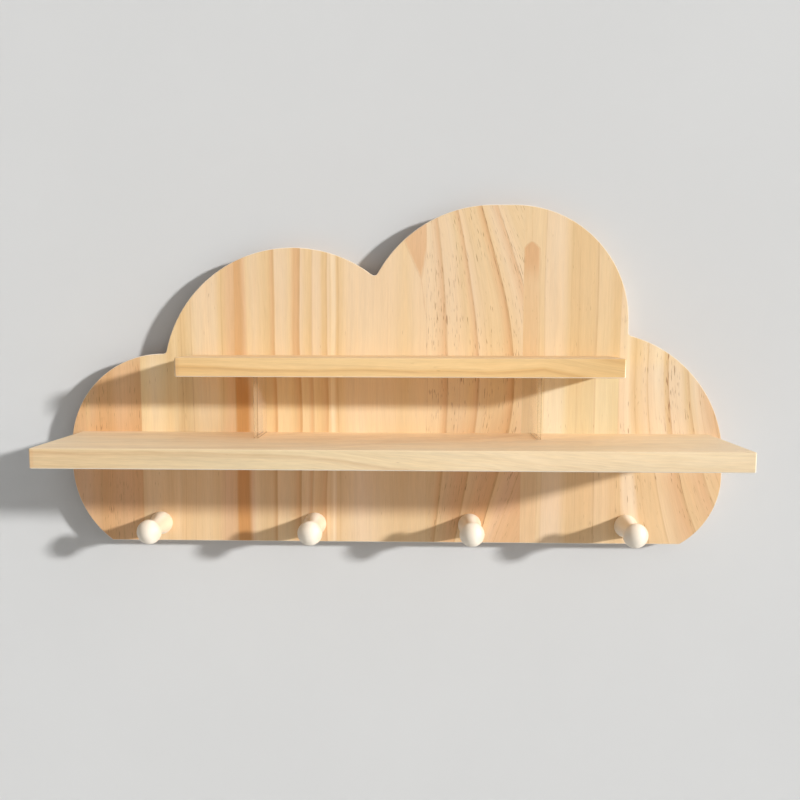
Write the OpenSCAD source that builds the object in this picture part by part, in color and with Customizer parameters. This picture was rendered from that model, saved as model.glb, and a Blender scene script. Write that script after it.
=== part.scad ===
/* [Cloud outline] */
// Width of the cloud from end to end
cloud_w = 650.5; // [600:0.5:700]
// Height of the cloud from its straight bottom edge to its top
cloud_h = 335; // [310:1:360]
// How far the middle of the cloud lies to the right of the hanging point
cloud_shift = 1.2; // [-5:0.1:5]
// Thickness of the cloud board
panel_t = 18; // [16:0.5:24]
// Radius of the left puff above its widest point
left_up_r = 94; // [85:1:105]
// Height of that arc's centre above the bottom edge
left_up_h = 95.5; // [85:0.5:105]
// Radius of the left puff below its widest point
left_low_r = 97; // [85:1:105]
// Height of that arc's centre above the bottom edge
left_low_h = 77.5; // [65:0.5:84]
// Radius of the right puff above its widest point
right_up_r = 127; // [115:1:140]
// Height of that arc's centre above the bottom edge
right_up_h = 86; // [78:0.5:95]
// Radius of the right puff below its widest point
right_low_r = 80; // [70:1:90]
// Height of that arc's centre above the bottom edge
right_low_h = 69; // [60:0.5:76]
// Radius of the middle puff
mid_r = 129.5; // [120:0.5:140]
// Distance of the middle puff's centre to the left of the hanging point
mid_x = 99.5; // [90:0.5:110]
// Height of the middle puff's top above the bottom edge
mid_top_h = 294; // [280:1:305]
// Radius of the tall puff's left arc
tall_left_r = 129; // [118:1:140]
// Distance of that arc's centre to the right of the hanging point
tall_left_x = 97; // [85:1:105]
// Radius of the tall puff's right arc
tall_right_r = 113; // [102:1:120]
// Distance of that arc's centre to the right of the hanging point
tall_right_x = 117.5; // [106:0.5:122]
// Radius that the router leaves in the notches between the puffs
notch_r = 4; // [2:0.5:6]

/* [Board staves] */
// Width of the glued staves that the cloud is cut from
stave_w = 95; // [85:1:105]
// Distance of the middle stave's centre to the left of the hanging point
stave_shift = 15; // [10:0.5:22]

/* [Shelves] */
// Thickness of both shelf boards
shelf_t = 18; // [16:0.5:24]
// Length of the lower shelf
lower_len = 625; // [560:1:640]
// Depth of the lower shelf in front of the cloud
lower_depth = 114; // [90:1:140]
// Height of the lower shelf's top above the bottom edge
lower_top_h = 111.5; // [104:0.5:120]
// Length of the upper shelf
upper_len = 413; // [380:1:420]
// Depth of the upper shelf in front of the cloud
upper_depth = 62; // [52:1:80]
// How far the middle of the upper shelf lies to the right of the hanging point
upper_shift = 7; // [0:0.5:10]
// Clear height between the two shelves
shelf_gap = 59; // [50:0.5:66]
// Radius on the shelves' front edges and corners
edge_r = 2; // [1:0.5:4]

/* [Clear supports] */
// Thickness of the two clear plates between the shelves
support_t = 4; // [3:0.5:6]
// Depth of the plates in front of the cloud
support_depth = 45; // [35:1:50]
// Distance between the middles of the two plates
support_spacing = 266.5; // [200:0.5:300]
// How far the pair sits to the left of the upper shelf's middle
support_shift = 2; // [0:0.5:5]
// Depth of the grooves that hold the plates
groove_d = 3; // [2:0.5:4]

/* [Pegs] */
// Distance between neighbouring pegs
peg_spacing = 156; // [140:1:160]
// How far the row's middle lies to the left of the hanging point
peg_shift = 1; // [0:0.5:5]
// Height of the pegs above the bottom edge
peg_h = 18.5; // [16:0.5:24]
// Length of a peg in front of the cloud
peg_len = 46; // [42:1:60]
// Radius of a peg's foot
peg_foot_r = 11.5; // [9.5:0.5:13]
// Length of the foot's straight edge
peg_foot_t = 2; // [1:0.5:4]
// Radius of a peg's neck
peg_neck_r = 7.5; // [6.5:0.5:8]
// Distance from the cloud to the neck's narrowest point
peg_neck_at = 30; // [26:1:31]
// Radius of a peg's head
peg_head_r = 12; // [11:0.5:14]
// Distance from the head's widest point to its tip
peg_dome = 8; // [7:0.5:8.5]
// Radius of the head's rounded rim
peg_rim_r = 4; // [3:0.5:4.5]
// Radius of the tenon behind the foot
tenon_r = 5; // [4:0.5:6]
// Length of the tenon
tenon_len = 13; // [9:1:13]

/* [Fixings] */
// Distance from the upper shelf's end to its first screw
screw_inset = 30; // [24:1:40]
// Distance of the lower shelf's outer screws past the last joint between the staves
screw_past_joint = 10.5; // [8:0.5:14]
// Radius of the shelf screws
screw_r = 2; // [1.5:0.25:2.5]
// Radius of their countersunk heads
screw_head_r = 4; // [3.5:0.25:4.5]
// Length of the shelf screws
screw_len = 45; // [40:1:50]
// Depth of the heads below the cloud's back
screw_sink = 0.5; // [0.25:0.25:1]
// Radius of the dowels
dowel_r = 4; // [3:0.5:4.5]
// Length of a dowel in the cloud
dowel_in_panel = 12; // [8:1:13]
// Length of a dowel in the shelf
dowel_in_shelf = 18; // [12:1:24]
// Small gap around glued and screwed pieces
fit_gap = 0.05; // [0.03:0.01:0.1]
// Free space past the end of a pin, dowel or screw
end_gap = 0.5; // [0.3:0.1:1]

/* [Hangers] */
// Distance between the two hanging points
mount_spacing = 360; // [320:1:380]
// Height of the hanging points above the bottom edge
mount_h = 218; // [210:1:222]
// Width of a hanger plate
plate_w = 20; // [16:1:24]
// Height of a hanger plate
plate_h = 45; // [43:1:52]
// Thickness of a hanger plate
plate_t = 2; // [1.5:0.1:2.5]
// Radius of a hanger plate's corners
plate_corner = 3; // [1:0.5:5]
// Radius of the hole that the wall screw's head enters
entry_r = 4.75; // [4.5:0.05:5.2]
// Radius of the slot that the wall screw's shank runs up
slot_r = 2.3; // [1.8:0.1:2.6]
// Distance from the entry hole's centre up to the hanging point
slot_rise = 9.5; // [8:0.5:11]
// Depth of the pocket behind a plate
pocket_d = 8; // [6:0.5:10]
// Free width around the entry hole inside the pocket
pocket_margin = 1.75; // [1.25:0.25:2.5]
// Distance between the two fixing holes of a plate
plate_pitch = 35; // [34:1:38]
// Radius of the plate's fixing screws
plate_screw_r = 1.5; // [1.25:0.25:1.75]
// Radius of their countersunk heads
plate_head_r = 3.1; // [2.9:0.1:3.3]
// Length of the plate's fixing screws
plate_screw_len = 13; // [10:1:14]

/* [Hidden] */
$fn = 96;
stave_count = 7;
peg_count = 4;

// Heights above the hanging point, which is the origin
bottom_z = -mount_h;
top_z = cloud_h - mount_h;
lower_top_z = lower_top_h - mount_h;
lower_mid_z = lower_top_z - shelf_t / 2;
upper_low_z = lower_top_z + shelf_gap;
upper_mid_z = upper_low_z + shelf_t / 2;
peg_z = peg_h - mount_h;

// Centres of the outline's arcs
left_end = cloud_shift - cloud_w / 2;
right_end = cloud_shift + cloud_w / 2;
left_up = [left_end + left_up_r, left_up_h - mount_h];
left_low = [left_end + left_low_r, left_low_h - mount_h];
right_up = [right_end - right_up_r, right_up_h - mount_h];
right_low = [right_end - right_low_r, right_low_h - mount_h];
mid = [-mid_x, mid_top_h - mid_r - mount_h];
tall_left = [tall_left_x, top_z - tall_left_r];
tall_right = [tall_right_x, top_z - tall_right_r];

// How far a cut runs past a surface, or a solid into its neighbour in the same piece
past = 1;

// A notch's rounding lies this far from the puffs, and bites slightly into them
notch_bite = 0.05;
notch_reach = notch_r - notch_bite;

// Joints between the staves; the two outer staves end past the cloud's ends
stave_edges = [for (i = [0 : stave_count])
    i == 0 ? left_end - past :
    i == stave_count ? right_end + past :
    (i - stave_count / 2) * stave_w - stave_shift];

// Places along the shelves: a screw at even steps, a dowel at odd ones.
// The lower shelf's outer screws hold the outermost staves.
lower_steps = 6;
upper_steps = 4;
lower_half = max(-stave_edges[1], stave_edges[stave_count - 1]) + screw_past_joint;
upper_half = upper_len / 2 - screw_inset;
lower_x = [for (i = [0 : lower_steps]) lower_half * (2 * i / lower_steps - 1)];
upper_x = [for (i = [0 : upper_steps]) upper_shift + upper_half * (2 * i / upper_steps - 1)];
support_x = [for (side = [-1, 1]) upper_shift - support_shift + side * support_spacing / 2];
peg_x = [for (i = [0 : peg_count - 1]) (i - (peg_count - 1) / 2) * peg_spacing - peg_shift];

mount_x = [for (side = [-1, 1]) side * mount_spacing / 2];
fixing_r = max(screw_head_r, dowel_r) + past;

// The plate's middle lies below the hanging point, halfway along the keyhole
plate_mid_z = (slot_r - slot_rise - entry_r) / 2;
// Cross recess of a screw head, as shares of the head's radius
recess_span_share = 1.1;
recess_width_share = 0.28;
recess_depth_share = 0.4;
tip_l = 2;
tenon_chamfer = 1;
dowel_chamfer = 1;

pine = [0.93, 0.79, 0.58];
pale_pine = [0.95, 0.83, 0.64];
birch = [0.95, 0.90, 0.82];
beech = [0.86, 0.72, 0.54];
steel = [0.72, 0.73, 0.75];
clear = [0.85, 0.9, 0.88, 0.35];

// One round puff of the cloud board
module puff(centre, r) {
    translate(centre) cylinder(r = r, h = panel_t);
}

// Upper crossing of two circles round a and b
function crossing(a, ra, b, rb) = let(
    d = norm(b - a),
    along = (ra * ra - rb * rb + d * d) / (2 * d),
    up = sqrt(ra * ra - along * along),
    unit = (b - a) / d)
    a + along * unit + up * [-unit.y, unit.x];

// Fills a notch down to its rounding; the other corners lie inside the cloud
module notch_fill(centre, corners) {
    difference() {
        linear_extrude(panel_t) polygon(concat([centre], corners));
        translate([centre.x, centre.y, -past]) cylinder(r = notch_r, h = panel_t + 2 * past);
    }
}

// Notch between two puffs
module puff_notch(a, ra, b, rb) {
    notch_fill(crossing(a, ra + notch_reach, b, rb + notch_reach), [a, b]);
}

// Notch between the tall puff's upright side and the right puff
module side_notch() {
    x = tall_right.x + tall_right_r + notch_reach;
    rise = sqrt(pow(right_up_r + notch_reach, 2) - pow(x - right_up.x, 2));
    centre = [x, right_up.y + rise];
    notch_fill(centre, [right_up, [tall_right.x, right_up.y], [tall_right.x, centre.y]]);
}

// Cloud board lying on its back: round puffs, joined by flat pieces and cut straight below
module cloud_board() {
    intersection() {
        union() {
            puff(left_up, left_up_r);
            puff(left_low, left_low_r);
            puff(right_up, right_up_r);
            puff(right_low, right_low_r);
            puff(mid, mid_r);
            puff(tall_left, tall_left_r);
            puff(tall_right, tall_right_r);
            puff_notch(left_up, left_up_r, mid, mid_r);
            puff_notch(mid, mid_r, tall_left, tall_left_r);
            side_notch();
            linear_extrude(panel_t)
                polygon([[left_end, left_up.y], left_up, left_low, [left_end, left_low.y]]);
            linear_extrude(panel_t)
                polygon([[right_end, right_up.y], right_up, right_low, [right_end, right_low.y]]);
            linear_extrude(panel_t) polygon([tall_left, [tall_left.x, top_z],
                [tall_right.x, top_z], tall_right]);
            translate([tall_right.x, right_up.y, 0])
                cube([tall_right_r, tall_right.y - right_up.y, panel_t]);
            linear_extrude(panel_t) polygon([left_up, mid, tall_left, tall_right, right_up,
                right_low, [right_low.x, bottom_z], [left_low.x, bottom_z], left_low]);
        }
        translate([left_end, bottom_z, 0]) cube([cloud_w, cloud_h, panel_t]);
    }
}

// Whether a hole of radius r at x reaches into a stave
function near(i, x, r) = x + r > stave_edges[i] && x - r < stave_edges[i + 1];

// Places something on the cloud's back, pointing forwards
module from_back(x, z, sink = 0) {
    translate([x, -sink, z]) rotate([90, 0, 0]) children();
}

// Places something on the cloud's front, pointing forwards
module from_front(x, z) {
    from_back(x, z, panel_t) children();
}

// Countersunk screw that points forwards from its head
module screw(r, head_r, len) {
    cone = head_r - r;
    span = head_r * recess_span_share;
    width = head_r * recess_width_share;
    depth = head_r * recess_depth_share;
    difference() {
        union() {
            cylinder(r1 = head_r, r2 = r, h = cone);
            cylinder(r = r, h = len - tip_l);
            translate([0, 0, len - tip_l]) cylinder(r1 = r, r2 = 0, h = tip_l);
        }
        for (turn = [0, 90]) rotate([0, 0, turn])
            translate([-span / 2, -width / 2, -past]) cube([span, width, past + depth]);
    }
}

// Hole for such a screw, open behind its head
module screw_hole(r, head_r, len, open) {
    cone = head_r - r;
    translate([0, 0, -open]) cylinder(r = head_r + fit_gap, h = open);
    cylinder(r1 = head_r + fit_gap, r2 = r + fit_gap, h = cone);
    cylinder(r = r + fit_gap, h = len + end_gap);
}

// Dowel with chamfered ends, from the cloud into a shelf
module dowel() {
    translate([0, 0, -dowel_in_panel])
        cylinder(r1 = dowel_r - dowel_chamfer, r2 = dowel_r, h = dowel_chamfer);
    translate([0, 0, dowel_chamfer - dowel_in_panel])
        cylinder(r = dowel_r, h = dowel_in_panel + dowel_in_shelf - 2 * dowel_chamfer);
    translate([0, 0, dowel_in_shelf - dowel_chamfer])
        cylinder(r1 = dowel_r, r2 = dowel_r - dowel_chamfer, h = dowel_chamfer);
}

// Hole for such a dowel, in the cloud and in the shelf
module dowel_hole() {
    translate([0, 0, -dowel_in_panel - end_gap])
        cylinder(r = dowel_r + fit_gap, h = dowel_in_panel + dowel_in_shelf + 2 * end_gap);
}

// Hole for a peg's tenon, open to the front
module tenon_hole() {
    translate([0, 0, -tenon_len - end_gap])
        cylinder(r = tenon_r + fit_gap, h = tenon_len + end_gap + past);
}

module shelf_screw_hole() {
    screw_hole(screw_r, screw_head_r, screw_len, screw_sink + past);
}

module plate_screw_hole() {
    screw_hole(plate_screw_r, plate_head_r, plate_screw_len, past);
}

// Rounded outline of a hanger plate, wider by gap all round
module plate_outline(gap = 0) {
    w = plate_w / 2 + gap;
    h = plate_h / 2 + gap;
    c = plate_corner + gap;
    square([2 * w, 2 * (h - c)], center = true);
    square([2 * (w - c), 2 * h], center = true);
    for (sx = [-1, 1], sy = [-1, 1]) translate([sx * (w - c), sy * (h - c)]) circle(c);
}

// Round hole below, and a slot that rises from it to the hanging point
module keyhole(entry, slot) {
    translate([0, -slot_rise]) circle(entry);
    translate([-slot, -slot_rise]) square([2 * slot, slot_rise]);
    circle(slot);
}

// Seat of a hanger plate in the cloud's back, with the pocket for the wall screw's head
module plate_seat() {
    translate([0, plate_mid_z, -past]) linear_extrude(past + plate_t) plate_outline(fit_gap);
    linear_extrude(plate_t + pocket_d)
        keyhole(entry_r + pocket_margin, entry_r + pocket_margin);
    for (side = [-1, 1]) translate([0, plate_mid_z + side * plate_pitch / 2, 0]) plate_screw_hole();
}

// One glued stave of the cloud board, bored for what it carries
module stave(i) {
    lo = stave_edges[i];
    hi = stave_edges[i + 1];
    difference() {
        from_back(0, 0) intersection() {
            cloud_board();
            translate([lo, bottom_z, 0]) cube([hi - lo, cloud_h, panel_t]);
        }
        for (x = peg_x) if (near(i, x, tenon_r + past)) from_front(x, peg_z) tenon_hole();
        for (n = [0 : lower_steps]) if (near(i, lower_x[n], fixing_r)) {
            if (n % 2 == 0) from_back(lower_x[n], lower_mid_z, screw_sink) shelf_screw_hole();
            else from_front(lower_x[n], lower_mid_z) dowel_hole();
        }
        for (n = [0 : upper_steps]) if (near(i, upper_x[n], fixing_r)) {
            if (n % 2 == 0) from_back(upper_x[n], upper_mid_z, screw_sink) shelf_screw_hole();
            else from_front(upper_x[n], upper_mid_z) dowel_hole();
        }
        for (x = mount_x) if (near(i, x, plate_w / 2 + past)) from_back(x, 0) plate_seat();
    }
}

module stave_1() { color(pine) stave(0); }
module stave_2() { color(pale_pine) stave(1); }
module stave_3() { color(pine) stave(2); }
module stave_4() { color(pale_pine) stave(3); }
module stave_5() { color(pine) stave(4); }
module stave_6() { color(pale_pine) stave(5); }
module stave_7() { color(pine) stave(6); }

// Rectangle behind x = 0 with its two front corners rounded
module rounded_front(depth, half) {
    translate([edge_r - depth, -half]) square([depth - edge_r, 2 * half]);
    translate([-depth, edge_r - half]) square([depth, 2 * (half - edge_r)]);
    for (side = [-1, 1]) translate([edge_r - depth, side * (half - edge_r)]) circle(edge_r);
}

// Rectangle with all four corners rounded
module rounded_face(half_l, half_h) {
    square([2 * half_l, 2 * (half_h - edge_r)], center = true);
    square([2 * (half_l - edge_r), 2 * half_h], center = true);
    for (sx = [-1, 1], sy = [-1, 1])
        translate([sx * (half_l - edge_r), sy * (half_h - edge_r)]) circle(edge_r);
}

// Shelf board with softened edges, its back face at y = 0 and its middle at the origin
module board(len, depth) {
    intersection() {
        translate([-len / 2, 0, 0]) rotate([90, 0, 90])
            linear_extrude(len) rounded_front(depth, shelf_t / 2);
        translate([0, 0, -shelf_t / 2]) linear_extrude(shelf_t)
            rotate([0, 0, 90]) rounded_front(depth, len / 2);
        rotate([90, 0, 0]) linear_extrude(depth) rounded_face(len / 2, shelf_t / 2);
    }
}

// Stopped groove for a clear plate, open to the cloud
module groove(x, z) {
    translate([x - support_t / 2 - fit_gap, -panel_t - support_depth - fit_gap, z])
        cube([support_t + 2 * fit_gap, support_depth + fit_gap + past, groove_d + past]);
}

module lower_shelf() {
    color(pale_pine) difference() {
        translate([0, -panel_t, lower_mid_z]) board(lower_len, lower_depth);
        for (n = [0 : lower_steps]) {
            if (n % 2 == 0) from_back(lower_x[n], lower_mid_z, screw_sink) shelf_screw_hole();
            else from_front(lower_x[n], lower_mid_z) dowel_hole();
        }
        for (x = support_x) groove(x, lower_top_z - groove_d);
    }
}

module upper_shelf() {
    color(pine) difference() {
        translate([upper_shift, -panel_t, upper_mid_z]) board(upper_len, upper_depth);
        for (n = [0 : upper_steps]) {
            if (n % 2 == 0) from_back(upper_x[n], upper_mid_z, screw_sink) shelf_screw_hole();
            else from_front(upper_x[n], upper_mid_z) dowel_hole();
        }
        for (x = support_x) groove(x, upper_low_z - past);
    }
}

// Clear plate that stands in both shelves' grooves, against the cloud
module support(x) {
    translate([x - support_t / 2, -panel_t - support_depth, lower_top_z - groove_d])
        cube([support_t, support_depth, shelf_gap + 2 * groove_d - end_gap]);
}

module left_support() { color(clear) support(support_x[0]); }
module right_support() { color(clear) support(support_x[1]); }

// Half outline of a peg: foot, long cove to the neck, short cove to the head, domed tip
module peg_outline() {
    cove_rise = peg_neck_at - peg_foot_t;
    cove_in = peg_foot_r - peg_neck_r;
    cove_r = (pow(cove_in, 2) + pow(cove_rise, 2)) / (2 * cove_in);
    rim_x = peg_head_r - peg_rim_r;
    rim_y = peg_len - peg_dome;
    dome_r = (pow(rim_x, 2) + pow(peg_dome, 2) - pow(peg_rim_r, 2)) / (2 * (peg_dome - peg_rim_r));
    dome_y = peg_len - dome_r;
    dome_end = [rim_x, rim_y - dome_y] * dome_r / (dome_r - peg_rim_r) + [0, dome_y];
    rise = rim_y - peg_neck_at;
    step = rim_x - peg_neck_r;
    throat_r = (pow(step, 2) + pow(rise, 2) - pow(peg_rim_r, 2)) / (2 * (peg_rim_r + step));
    throat_end = [peg_neck_r + throat_r, peg_neck_at]
        + [step - throat_r, rise] * throat_r / (throat_r + peg_rim_r);
    difference() {
        square([peg_foot_r, peg_neck_at]);
        translate([peg_neck_r + cove_r, peg_neck_at]) circle(cove_r, $fn = 360);
    }
    difference() {
        polygon([[0, peg_neck_at], [peg_neck_r + throat_r, peg_neck_at], throat_end,
            [rim_x, rim_y], [0, rim_y]]);
        translate([peg_neck_r + throat_r, peg_neck_at]) circle(throat_r);
    }
    translate([rim_x, rim_y]) circle(peg_rim_r);
    polygon([[0, rim_y - past], [rim_x, rim_y], dome_end, [0, dome_end.y]]);
    intersection() {
        translate([0, dome_y]) circle(dome_r);
        translate([0, dome_end.y]) square([dome_end.x, peg_len]);
    }
}

// Turned peg with its tenon behind the foot
module peg(i) {
    from_front(peg_x[i], peg_z) {
        rotate_extrude() peg_outline();
        translate([0, 0, tenon_chamfer - tenon_len]) cylinder(r = tenon_r, h = tenon_len);
        translate([0, 0, -tenon_len])
            cylinder(r1 = tenon_r - tenon_chamfer, r2 = tenon_r, h = tenon_chamfer);
    }
}

module peg_1() { color(birch) peg(0); }
module peg_2() { color(birch) peg(1); }
module peg_3() { color(birch) peg(2); }
module peg_4() { color(birch) peg(3); }

module lower_shelf_dowels() {
    color(beech) for (n = [1 : 2 : lower_steps]) from_front(lower_x[n], lower_mid_z) dowel();
}

module upper_shelf_dowels() {
    color(beech) for (n = [1 : 2 : upper_steps]) from_front(upper_x[n], upper_mid_z) dowel();
}

module lower_shelf_screws() {
    color(steel) for (n = [0 : 2 : lower_steps])
        from_back(lower_x[n], lower_mid_z, screw_sink) screw(screw_r, screw_head_r, screw_len);
}

module upper_shelf_screws() {
    color(steel) for (n = [0 : 2 : upper_steps])
        from_back(upper_x[n], upper_mid_z, screw_sink) screw(screw_r, screw_head_r, screw_len);
}

// Steel plate with a keyhole, flush in the cloud's back
module hanger_plate(x) {
    from_back(x, 0) difference() {
        linear_extrude(plate_t) difference() {
            translate([0, plate_mid_z]) plate_outline();
            keyhole(entry_r, slot_r);
        }
        for (side = [-1, 1])
            translate([0, plate_mid_z + side * plate_pitch / 2, 0]) plate_screw_hole();
    }
}

module left_hanger_plate() { color(steel) hanger_plate(mount_x[0]); }
module right_hanger_plate() { color(steel) hanger_plate(mount_x[1]); }

module hanger_screws() {
    color(steel) for (x = mount_x, side = [-1, 1])
        from_back(x, plate_mid_z + side * plate_pitch / 2)
            screw(plate_screw_r, plate_head_r, plate_screw_len);
}

stave_1();
stave_2();
stave_3();
stave_4();
stave_5();
stave_6();
stave_7();
lower_shelf();
upper_shelf();
left_support();
right_support();
peg_1();
peg_2();
peg_3();
peg_4();
lower_shelf_dowels();
upper_shelf_dowels();
lower_shelf_screws();
upper_shelf_screws();
left_hanger_plate();
right_hanger_plate();
hanger_screws();
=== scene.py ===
import math

import bmesh
import bpy
import numpy as np
from mathutils import Matrix, Vector
from mathutils.geometry import tessellate_polygon


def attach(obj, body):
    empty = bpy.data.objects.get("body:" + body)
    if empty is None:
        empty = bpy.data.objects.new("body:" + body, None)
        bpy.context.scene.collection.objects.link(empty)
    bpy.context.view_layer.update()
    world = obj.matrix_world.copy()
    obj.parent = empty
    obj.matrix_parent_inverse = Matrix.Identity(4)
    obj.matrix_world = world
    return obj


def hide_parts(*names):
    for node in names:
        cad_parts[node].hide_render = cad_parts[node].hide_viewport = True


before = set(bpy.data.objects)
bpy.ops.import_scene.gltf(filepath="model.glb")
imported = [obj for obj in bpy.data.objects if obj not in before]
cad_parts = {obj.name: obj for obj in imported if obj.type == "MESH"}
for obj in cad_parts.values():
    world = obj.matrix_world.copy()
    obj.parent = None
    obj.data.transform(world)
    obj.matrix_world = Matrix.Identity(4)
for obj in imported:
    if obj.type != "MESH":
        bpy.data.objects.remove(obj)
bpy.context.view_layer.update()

MM = 0.001
TOUCH = 1e-6

# Sizes in millimetres, as in the part's source. X runs right, Y into the wall and Z up, from the
# point on the wall midway between the hangers.
PANEL_T = 18.0
BOTTOM = -218.0
LEFT_END, RIGHT_END = -324.05, 326.45
LEFT_UP, LEFT_UP_R = (-230.05, -122.5), 94.0
LEFT_LOW, LEFT_LOW_R = (-227.05, -140.5), 97.0
MID, MID_R = (-99.5, -53.5), 129.5
TALL_LEFT, TALL_LEFT_R = (97.0, -12.0), 129.0
TALL_RIGHT, TALL_RIGHT_R = (117.5, 4.0), 113.0
RIGHT_UP, RIGHT_UP_R = (199.45, -132.0), 127.0
RIGHT_LOW, RIGHT_LOW_R = (246.45, -149.0), 80.0
JOINTS = (-252.5, -157.5, -62.5, 32.5, 127.5, 222.5)
NOTCH_R = 4.0

SHELF_T = 18.0
LOWER_TOP, LOWER_DEPTH, LOWER_ENDS = -106.5, 114.0, (-312.5, 312.5)
UPPER_TOP, UPPER_DEPTH, UPPER_ENDS = -29.5, 62.0, (-199.5, 213.5)
SHELF_EDGE = 1.3
SHELF_CORNER = 1.6
BOARD_FRONT_EDGE, BOARD_BACK_EDGE = 0.8, 0.5
GLUED_EDGE = 0.02

SUPPORTS = {"left_support": -128.25, "right_support": 138.25}
SUPPORT_T, SUPPORT_DEPTH = 4.0, 45.0
SUPPORT_LOW, SUPPORT_HIGH = -109.5, -45.0
SUPPORT_CHAMFER = 0.45

PEGS = {"peg_1": -235.0, "peg_2": -79.0, "peg_3": 77.0, "peg_4": 233.0}
PEG_Z = -199.5
PEG_FOOT_R, PEG_FOOT_T = 11.5, 2.0
PEG_NECK_R, PEG_NECK_AT = 7.5, 30.0
PEG_HEAD_R, PEG_RIM_R, PEG_DOME, PEG_LEN = 12.0, 4.0, 8.0, 46.0
PEG_FOOT_EDGE, PEG_FOOT_LIP = 0.5, 0.3
TENON_R, TENON_LEN, TENON_CHAMFER, SOCKET_GAP = 5.0, 13.0, 1.0, 0.5

HANGERS = {"left_hanger_plate": -180.0, "right_hanger_plate": 180.0}
PLATE_W, PLATE_H, PLATE_T, PLATE_CORNER, PLATE_MID = 20.0, 45.0, 2.0, 3.0, -6.0
PLATE_PITCH, PLATE_HEAD_R, PLATE_BORE_R, PLATE_SINK = 35.0, 3.1, 1.6, 1.55
PLATE_EDGE = 0.25
ENTRY_R, ENTRY_Z, SLOT_R = 4.75, -9.5, 2.3
POCKET_R, POCKET_DEPTH = 6.5, 10.0
SCREW_HEAD_R, SCREW_TAPER, SCREW_SINK, BORE_END = 4.05, 2.0, 0.5, 3.0
SHELF_SCREWS = [(x, LOWER_TOP - SHELF_T / 2) for x in (-263.0, -87.67, 87.67, 263.0)] + [
    (x, UPPER_TOP - SHELF_T / 2) for x in (-169.5, 7.0, 183.5)]
FIT = 0.05


# Shapes
def arc(centre, radius, start, end, step=1.0):
    """Centre plus radius times cosine and sine of an angle that runs from start to end."""
    count = max(2, int(abs(end - start) / step) + 2)
    a = np.radians(np.linspace(start, end, count))
    return np.stack([centre[0] + radius * np.cos(a), centre[1] + radius * np.sin(a)], 1)


def circle(centre, radius, count=48):
    """A whole circle, its last point left out."""
    return arc(centre, radius, 0, 360, 360 / (count - 1))[:-1]


def bearing(centre, point):
    """Direction of a point from a centre, in degrees."""
    return math.degrees(math.atan2(point[1] - centre[1], point[0] - centre[0]))


def notch(c1, r1, c2, r2):
    """Upper crossing of two circles: along the line of centres by (r1² - r2² + d²) / 2d, then
    up at right angles to it."""
    c1, c2 = np.array(c1), np.array(c2)
    d = np.linalg.norm(c2 - c1)
    unit = (c2 - c1) / d
    along = (r1 ** 2 - r2 ** 2 + d ** 2) / (2 * d)
    up = math.sqrt(r1 ** 2 - along ** 2)
    return c1 + along * unit + up * np.array([-unit[1], unit[0]])


def fillet(centre, before, after):
    """The router's rounding of a notch, from the side of one arc's centre to the other's."""
    start, end = bearing(centre, before), bearing(centre, after)
    return arc(centre, NOTCH_R, start, start + (end - start) % 360, 12.0)[1:-1]


def cloud_outline():
    """The cloud's closed outline, clockwise: arc after arc over the puffs, and straight below."""
    left_start = -180 - math.degrees(math.asin((BOTTOM - LEFT_LOW[1]) / LEFT_LOW_R))
    right_end = math.degrees(math.asin((BOTTOM - RIGHT_LOW[1]) / RIGHT_LOW_R))
    first = notch(LEFT_UP, LEFT_UP_R + NOTCH_R, MID, MID_R + NOTCH_R)
    second = notch(MID, MID_R + NOTCH_R, TALL_LEFT, TALL_LEFT_R + NOTCH_R)
    side = TALL_RIGHT[0] + TALL_RIGHT_R + NOTCH_R
    third = (side, RIGHT_UP[1] + math.sqrt((RIGHT_UP_R + NOTCH_R) ** 2 - (side - RIGHT_UP[0]) ** 2))
    return np.concatenate([
        arc(LEFT_LOW, LEFT_LOW_R, left_start, -180),
        arc(LEFT_UP, LEFT_UP_R, 180, bearing(LEFT_UP, first)),
        fillet(first, LEFT_UP, MID),
        arc(MID, MID_R, bearing(MID, first), bearing(MID, second)),
        fillet(second, MID, TALL_LEFT),
        arc(TALL_LEFT, TALL_LEFT_R, bearing(TALL_LEFT, second), 90),
        arc(TALL_RIGHT, TALL_RIGHT_R, 90, 0),
        fillet(third, (side - 1, third[1]), RIGHT_UP),
        arc(RIGHT_UP, RIGHT_UP_R, bearing(RIGHT_UP, third), 0),
        arc(RIGHT_LOW, RIGHT_LOW_R, 0, right_end),
    ])


def crossed(path, x):
    """The path with a point put in wherever it crosses x, by linear interpolation."""
    a, b = path, np.roll(path, -1, 0)
    hit = np.nonzero((a[:, 0] - x) * (b[:, 0] - x) < 0)[0]
    t = ((x - a[hit, 0]) / (b[hit, 0] - a[hit, 0]))[:, None]
    new = a[hit] + t * (b[hit] - a[hit])
    new[:, 0] = x
    return np.insert(path, hit + 1, new, 0)


def rounded_rectangle(centre, half_w, half_h, radius):
    """Four corner arcs, joined by straight sides."""
    step = 9.0
    corners = [(1, 1, 0), (-1, 1, 90), (-1, -1, 180), (1, -1, 270)]
    return np.concatenate([
        arc((centre[0] + sx * (half_w - radius), centre[1] + sy * (half_h - radius)),
            radius, start, start + 90, step) for sx, sy, start in corners])


def keyhole(x, entry, slot):
    """Round hole below and a narrower slot with a round top, as one closed path."""
    open_at = math.degrees(math.asin(min(1.0, slot / entry)))
    return np.concatenate([
        arc((x, 0.0), slot, 0, 180, 9.0),
        arc((x, ENTRY_Z), entry, 90 + open_at, 450 - open_at, 9.0)])


def inward(path):
    """Unit normals of the path's sides that point into the shape it encloses."""
    step = np.roll(path, -1, 0) - path
    turn = np.sum(path[:, 0] * np.roll(path, -1, 0)[:, 1] - np.roll(path, -1, 0)[:, 0] * path[:, 1])
    normal = np.stack([-step[:, 1], step[:, 0]], 1) * np.sign(turn)
    return normal / np.linalg.norm(normal, axis=1, keepdims=True)


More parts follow.
